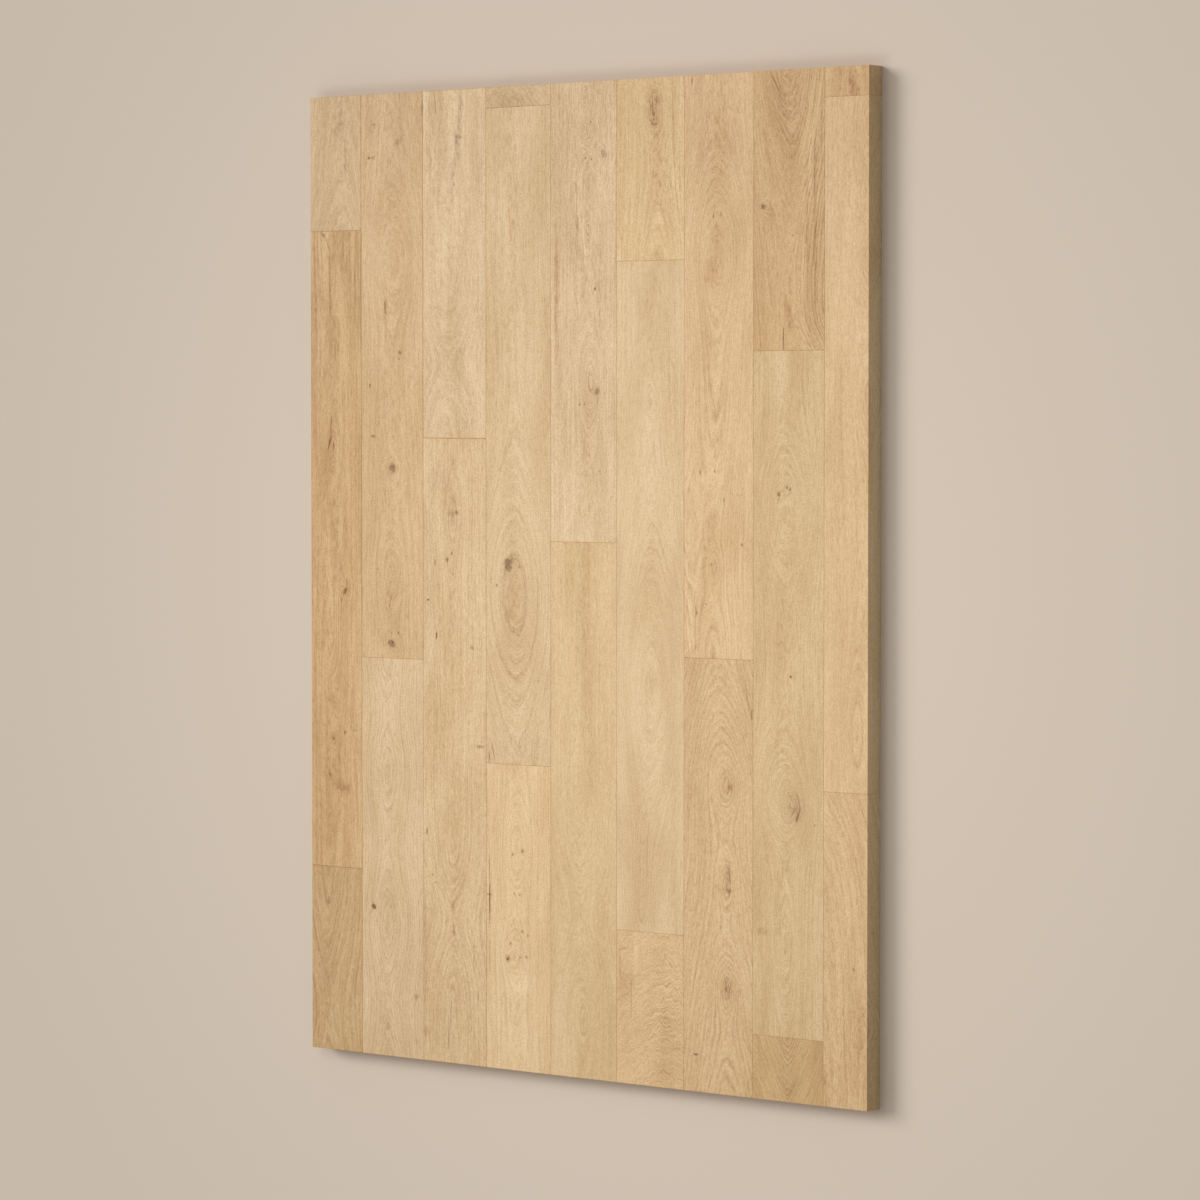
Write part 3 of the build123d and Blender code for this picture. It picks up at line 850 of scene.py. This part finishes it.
def plank_tree():
    """Geometry nodes for one plank: its tongued and grooved section, drawn from the foot to the head."""
    sizes = floats(
        "Left", "Right", "Head", "Foot", "Thickness", "Tongue Top", "Tongue Bottom", "Tongue Length",
        "Tongue Nose", "Groove Depth", "Cheek Clearance", "Shoulder Relief",
    )
    group, bench, given, result = node_group(
        "Parquet plank", {**sizes, "Oak": "Material"}, {"Plank": "Geometry"}, "GeometryNodeTree"
    )
    left, right, face = given["Left"], given["Right"], given["Thickness"]
    top, bottom = given["Tongue Top"], given["Tongue Bottom"]
    groove = bench.math("ADD", left, given["Groove Depth"])
    groove_top = bench.math("ADD", top, given["Cheek Clearance"])
    groove_bottom = bench.math("SUBTRACT", bottom, given["Cheek Clearance"])
    nose = bench.math("ADD", right, given["Tongue Length"])
    nose_start = bench.math("SUBTRACT", nose, given["Tongue Nose"])
    nose_top = bench.math("SUBTRACT", top, given["Tongue Nose"])
    nose_bottom = bench.math("ADD", bottom, given["Tongue Nose"])
    shoulder = bench.math("SUBTRACT", right, given["Shoulder Relief"])
    corners = [
        (left, 0.0), (left, groove_bottom), (groove, groove_bottom), (groove, groove_top),
        (left, groove_top), (left, face), (right, face), (right, top), (nose_start, top),
        (nose, nose_top), (nose, nose_bottom), (nose_start, bottom), (shoulder, bottom), (shoulder, 0.0),
    ]
    blank = bench.node("GeometryNodeMeshCircle", {"Vertices": len(corners)}, fill_type="NGON")
    corner = bench.node("GeometryNodeIndexSwitch", data_type="VECTOR")
    while len(corner.index_switch_items) < len(corners):
        corner.index_switch_items.new()
    bench.feed(corner.inputs["Index"], bench.node("GeometryNodeInputIndex").outputs[0])
    for number, (x, z) in enumerate(corners, start=1):
        bench.feed(corner.inputs[number], bench.join(x, given["Foot"], z))
    shaped = {"Geometry": blank.outputs[0], "Position": corner.outputs[0]}
    section = bench.node("GeometryNodeSetPosition", shaped)
    length = bench.math("SUBTRACT", given["Head"], given["Foot"])
    stretch = {
        "Mesh": section.outputs[0], "Offset": bench.join(0.0, length, 0.0), "Offset Scale": 1.0,
        "Individual": False,
    }
    drawn = bench.node("GeometryNodeExtrudeMesh", stretch, mode="FACES")
    foot_end = bench.node("GeometryNodeFlipFaces", {"Mesh": section.outputs[0]})
    whole = bench.node("GeometryNodeJoinGeometry", {0: drawn.outputs[0]})
    bench.feed(whole.inputs[0], foot_end.outputs[0])
    welded = {"Geometry": whole.outputs[0], "Distance": WELD_DISTANCE}
    closed = bench.node("GeometryNodeMergeByDistance", welded)
    real = bench.node("GeometryNodeRealizeInstances", {0: closed.outputs[0]})
    dressed = bench.node("GeometryNodeSetMaterial", {"Geometry": real.outputs[0], "Material": given["Oak"]})
    bench.feed(result["Plank"], dressed.outputs[0])
    return group


def milled_plank(tree, name, sizes):
    """One plank as a plain mesh, with its arrises eased."""
    plank = bpy.data.objects.new("oak_" + name, bpy.data.meshes.new("blank"))
    bpy.context.scene.collection.objects.link(plank)
    milling = plank.modifiers.new("milling", "NODES")
    milling.node_group = tree
    for item in tree.interface.items_tree:
        if item.in_out == "INPUT":
            milling[item.identifier] = sizes[item.name]
    easing = plank.modifiers.new("eased arrises", "BEVEL")
    easing.width = EASED_ARRIS
    easing.segments = EASED_STEPS
    easing.limit_method = "ANGLE"
    easing.angle_limit = math.radians(EASED_ANGLE)
    milled = plank.evaluated_get(bpy.context.evaluated_depsgraph_get())
    mesh = bpy.data.meshes.new_from_object(milled)
    plank.modifiers.clear()
    plank.data = mesh
    mesh.name = "oak_" + name
    return plank


def lay_planks():
    """Mills every plank and gives it its own oak."""
    tree = plank_tree()
    tongue_top = PLANK_THICKNESS - TONGUE_DEPTH
    for number, (name, plank) in enumerate(PLANKS.items(), start=1):
        low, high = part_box(name)
        row = int(name[len("row")])
        tongued = row != LAST_ROW
        grooved = row != FIRST_ROW
        left, right = low.x, high.x - TONGUE_LENGTH if tongued else high.x
        oak = plank_material(name, plank, number * SEED_STEP, left, right, high.y, low.y)
        piece = milled_plank(tree, name, {
            "Left": left, "Right": right, "Head": high.y, "Foot": low.y, "Thickness": PLANK_THICKNESS,
            "Tongue Top": tongue_top, "Tongue Bottom": tongue_top - TONGUE_THICKNESS,
            "Tongue Length": TONGUE_LENGTH if tongued else 0.0,
            "Tongue Nose": TONGUE_NOSE if tongued else 0.0,
            "Groove Depth": GROOVE_DEPTH if grooved else 0.0, "Cheek Clearance": CHEEK_CLEARANCE,
            "Shoulder Relief": SHOULDER_RELIEF if tongued else 0.0, "Oak": oak,
        })
        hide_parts(name)
        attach(piece, "root")


def plain_floor():
    """The pale studio floor under the board."""
    near, far = -FLOOR_REACH, FLOOR_REACH
    mesh = bpy.data.meshes.new("floor")
    mesh.from_pydata([(near, near, 0), (far, near, 0), (far, far, 0), (near, far, 0)], [], [(0, 1, 2, 3)])
    floor = bpy.data.objects.new("floor", mesh)
    bpy.context.scene.collection.objects.link(floor)
    material = bpy.data.materials.new("floor_paint")
    material.use_nodes = True
    paint = material.node_tree.nodes["Principled BSDF"]
    paint.inputs["Base Color"].default_value = FLOOR_COLOUR
    paint.inputs["Roughness"].default_value = FLOOR_ROUGHNESS
    paint.inputs["Specular IOR Level"].default_value = FLOOR_SPECULAR
    mesh.materials.append(material)


def soft_sun():
    """A soft sun from the left."""
    lamp = bpy.data.lights.new("soft_sun", "SUN")
    lamp.energy = SUN_STRENGTH
    lamp.angle = math.radians(SUN_SPREAD)
    sun = bpy.data.objects.new("soft_sun", lamp)
    azimuth, turn = math.radians(SUN_AZIMUTH), math.radians(SUN_TURN)
    flat = math.sin(turn)
    towards = Vector((math.cos(azimuth) * flat, math.sin(azimuth) * flat, math.cos(turn)))
    sun.rotation_euler = towards.to_track_quat("Z", "Y").to_euler()
    bpy.context.scene.collection.objects.link(sun)


def softbox():
    """A softbox over the board, whose light falls off slowly towards the edges."""
    lamp = bpy.data.lights.new("softbox", "AREA")
    lamp.shape = "DISK"
    lamp.size = SOFTBOX_SIZE
    lamp.energy = SOFTBOX_POWER
    box = bpy.data.objects.new("softbox", lamp)
    box.location = SOFTBOX_PLACE
    box.visible_camera = False
    bpy.context.scene.collection.objects.link(box)


def even_sky():
    """An even sky, in place of which the camera sees the backdrop's colour."""
    world = bpy.data.worlds.new("studio")
    bpy.context.scene.world = world
    world.use_nodes = True
    world.node_tree.nodes.clear()
    bench = Bench(world.node_tree)
    sky = bench.node("ShaderNodeBackground", {"Color": SKY_COLOUR, "Strength": SKY_STRENGTH})
    backdrop = bench.node("ShaderNodeBackground", {"Color": BACKDROP_COLOUR, "Strength": 1.0})
    seen = bench.node("ShaderNodeLightPath").outputs["Is Camera Ray"]
    both = bench.node("ShaderNodeMixShader", {0: seen, 1: sky.outputs[0], 2: backdrop.outputs[0]})
    bench.node("ShaderNodeOutputWorld", {"Surface": both.outputs[0]})


def place_camera():
    """The camera at the photograph's viewing angle."""
    turn, tilt = math.radians(CAMERA_TURN), math.radians(CAMERA_TILT)
    back = Vector((math.sin(turn) * math.cos(tilt), math.sin(tilt), math.cos(turn) * math.cos(tilt)))
    right = Vector((0, 1, 0)).cross(back).normalized()
    up = back.cross(right)
    lens = bpy.data.cameras.new("camera")
    lens.lens = CAMERA_LENS
    lens.sensor_width = SENSOR_WIDTH
    camera = bpy.data.objects.new("camera", lens)
    turned = Matrix((right, up, back)).transposed().to_4x4()
    camera.matrix_world = Matrix.Translation(CAMERA_AIM + back * CAMERA_DISTANCE) @ turned
    bpy.context.scene.collection.objects.link(camera)
    bpy.context.scene.camera = camera


lay_planks()
plain_floor()
soft_sun()
softbox()
even_sky()
place_camera()
bpy.context.scene.view_settings.view_transform = "Standard"
